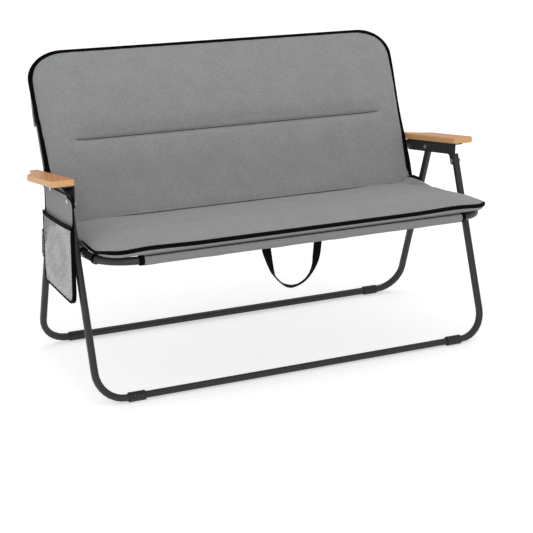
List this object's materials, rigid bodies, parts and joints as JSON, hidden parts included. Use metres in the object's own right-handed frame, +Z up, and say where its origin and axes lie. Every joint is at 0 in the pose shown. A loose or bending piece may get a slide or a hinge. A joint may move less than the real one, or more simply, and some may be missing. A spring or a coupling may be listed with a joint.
{
  "type": "folding camping loveseat",
  "caption": "Folding padded camping loveseat with steel tube frame, wooden armrests, mesh side pocket and webbing carry handles.",
  "frame": {"origin": "centre of the whole object's box, at floor level", "axes": "+X across the seat to the sitter's left, +Y to the back of the seat, +Z up"},
  "size_m": [1.255, 0.6468, 0.8052],
  "materials": {
    "powder_coat": "satin black powder coat, slightly grained",
    "zinc": "bright zinc plated",
    "black_plastic": "moulded, matte",
    "oiled_wood": "oiled, fine straight grain along the arm",
    "grey_cloth": "heathered grey woven polyester",
    "cover_cloth": "smooth grey woven polyester",
    "black_webbing": "black woven webbing and bias tape",
    "net_cloth": "light grey open knitted net"
  },
  "bodies": {
    "rear_legs": {"rear_leg_frame": "powder_coat", "rear_leg_cap_left": "black_plastic", "rear_leg_cap_right": "black_plastic", "foot_rear_left": "black_plastic", "foot_rear_right": "black_plastic", "link_lower_bolt_left": "zinc", "link_lower_bolt_right": "zinc"},
    "arms": {"arm_bracket_left": "powder_coat", "arm_bracket_right": "powder_coat", "armrest_left": "oiled_wood", "armrest_right": "oiled_wood", "arm_screw_front_left": "zinc", "arm_screw_front_right": "zinc", "arm_screw_rear_left": "zinc", "arm_screw_rear_right": "zinc", "arm_front_bolt_left": "zinc", "arm_front_bolt_right": "zinc", "arm_rear_bolt_left": "zinc", "arm_rear_bolt_right": "zinc", "pocket_panel": "grey_cloth", "pocket_mesh": "net_cloth", "pocket_binding": "black_webbing", "pocket_stud_front": "zinc", "pocket_stud_rear": "zinc"},
    "front_legs": {"front_leg_frame": "powder_coat", "front_leg_cap_left": "black_plastic", "front_leg_cap_right": "black_plastic", "foot_front_left": "black_plastic", "foot_front_right": "black_plastic", "seat_leg_bolt_left": "zinc", "seat_leg_bolt_right": "zinc"},
    "back": {"back_frame": "powder_coat", "back_tube_cap_left": "black_plastic", "back_tube_cap_right": "black_plastic", "arm_back_bolt_left": "zinc", "arm_back_bolt_right": "zinc", "seat_back_bolt_left": "zinc", "seat_back_bolt_right": "zinc", "link_upper_nut_left": "zinc", "link_upper_nut_right": "zinc", "back_cushion": "grey_cloth", "back_cover": "cover_cloth", "back_handle": "black_webbing"},
    "seat": {"seat_frame": "powder_coat", "seat_leg_nut_left": "zinc", "seat_leg_nut_right": "zinc", "seat_sling": "cover_cloth", "seat_sleeve_band_left": "black_webbing", "seat_sleeve_band_right": "black_webbing", "seat_cushion": "grey_cloth", "seat_handle": "black_webbing"},
    "links": {"link_plate_left": "powder_coat", "link_plate_right": "powder_coat", "link_upper_bolt_left": "zinc", "link_upper_bolt_right": "zinc"}
  },
  "joints": [
    {"name": "fold", "type": "hinge", "parent": "rear_legs", "child": "arms", "pos_m": [0, 0.04404, 0.4921], "axis": [1, 0, 0], "range_deg": [-50, 0]},
    {"name": "front_leg_fold", "type": "hinge", "parent": "arms", "child": "front_legs", "pos_m": [0, -0.09948, 0.4819], "axis": [1, 0, 0], "range_deg": [0, 83.45]},
    {"name": "back_fold", "type": "hinge", "parent": "arms", "child": "back", "pos_m": [0, 0.15912, 0.48204], "axis": [1, 0, 0], "range_deg": [0, 93.91]},
    {"name": "seat_fold", "type": "hinge", "parent": "back", "child": "seat", "pos_m": [0, 0.10754, 0.3758], "axis": [1, 0, 0], "range_deg": [-93.22, 0]},
    {"name": "link_fold", "type": "hinge", "parent": "rear_legs", "child": "links", "pos_m": [0, 0.10361, 0.2968], "axis": [1, 0, 0], "range_deg": [-128.5, 0]}
  ],
  "couplings": [
    {"joint": "front_leg_fold", "follows": "fold", "ratio": -1.6686},
    {"joint": "back_fold", "follows": "fold", "ratio": -1.8778},
    {"joint": "seat_fold", "follows": "fold", "ratio": 1.864},
    {"joint": "link_fold", "follows": "fold", "ratio": 2.5696}
  ]
}
